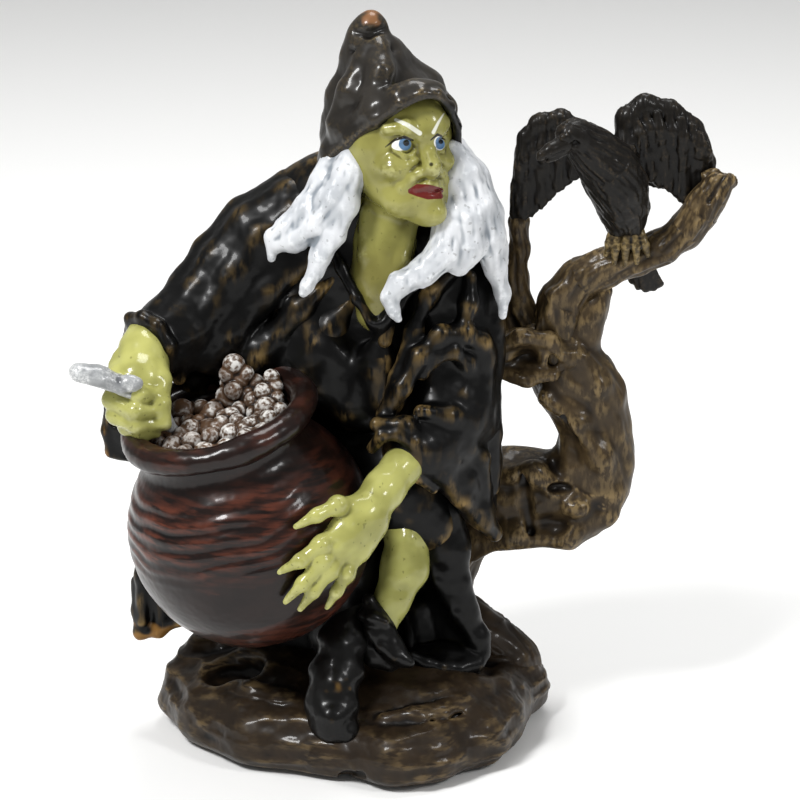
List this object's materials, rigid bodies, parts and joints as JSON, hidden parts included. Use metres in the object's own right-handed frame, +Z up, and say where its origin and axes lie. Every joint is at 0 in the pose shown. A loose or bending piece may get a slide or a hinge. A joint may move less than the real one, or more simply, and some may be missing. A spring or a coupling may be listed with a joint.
{
  "type": "witch figurine",
  "caption": "Painted cast-resin figurine of a crouching witch stirring a tilted cauldron, with a gnarled tree and a raven, on a rocky mound with clear pads.",
  "frame": {"origin": "on the ground under the middle of the figurine's outline", "axes": "+Z up, -Y towards the viewer of the figurine's front, +X to that viewer's right, towards the tree and raven"},
  "size_m": [0.1308, 0.0678, 0.1535],
  "materials": {
    "base_paint": "dark brown painted resin, dry-brushed tan, satin",
    "tree_paint": "olive brown painted resin, dry-brushed tan, satin",
    "raven_paint": "black-brown painted resin, matte",
    "cauldron_paint": "black-brown painted resin rubbed with red-brown, satin",
    "brew_paint": "brown painted resin, silver dry-brush",
    "ladle_silver": "silver painted resin, semi-gloss",
    "robe_paint": "black painted resin with bronze dry-brush on the folds, glossy varnish",
    "hat_paint": "black painted resin with bronze dry-brush, satin",
    "boot_paint": "black painted resin, glossy varnish",
    "skin_paint": "olive green painted resin, glossy varnish",
    "hair_paint": "white painted resin with grey in the grooves, glossy varnish",
    "pad_polyurethane": "clear soft polyurethane",
    "dowel_steel": "plain drawn wire"
  },
  "bodies": {
    "root": {"base_pad_1": "pad_polyurethane", "base_pad_2": "pad_polyurethane", "base_pad_3": "pad_polyurethane", "base_pad_4": "pad_polyurethane", "branch_dowel": "dowel_steel", "brew": "brew_paint", "cauldron_dowel": "dowel_steel", "cauldron_pot": "cauldron_paint", "ground_base": "base_paint", "hat": "hat_paint", "head": "skin_paint", "knee_drape": "robe_paint", "ladle": "ladle_silver", "left_boot": "boot_paint", "left_hair": "hair_paint", "left_hand": "skin_paint", "left_leg": "skin_paint", "left_sleeve": "robe_paint", "left_wrist_dowel": "dowel_steel", "neck_dowel": "dowel_steel", "perch_branch": "tree_paint", "raven_beak": "raven_paint", "raven_body": "raven_paint", "raven_dowel": "dowel_steel", "raven_left_foot": "raven_paint", "raven_left_wing": "raven_paint", "raven_right_foot": "raven_paint", "raven_right_wing": "raven_paint", "raven_tail": "raven_paint", "right_boot": "boot_paint", "right_cuff_drape": "robe_paint", "right_hair": "hair_paint", "right_hand": "skin_paint", "right_sleeve": "robe_paint", "right_wrist_dowel": "dowel_steel", "robe_body": "robe_paint", "skirt_panel": "robe_paint", "thin_branch": "tree_paint", "tree_root": "tree_paint", "tree_trunk": "tree_paint", "trunk_dowel": "dowel_steel", "trunk_knot": "tree_paint"}
  },
  "joints": []
}
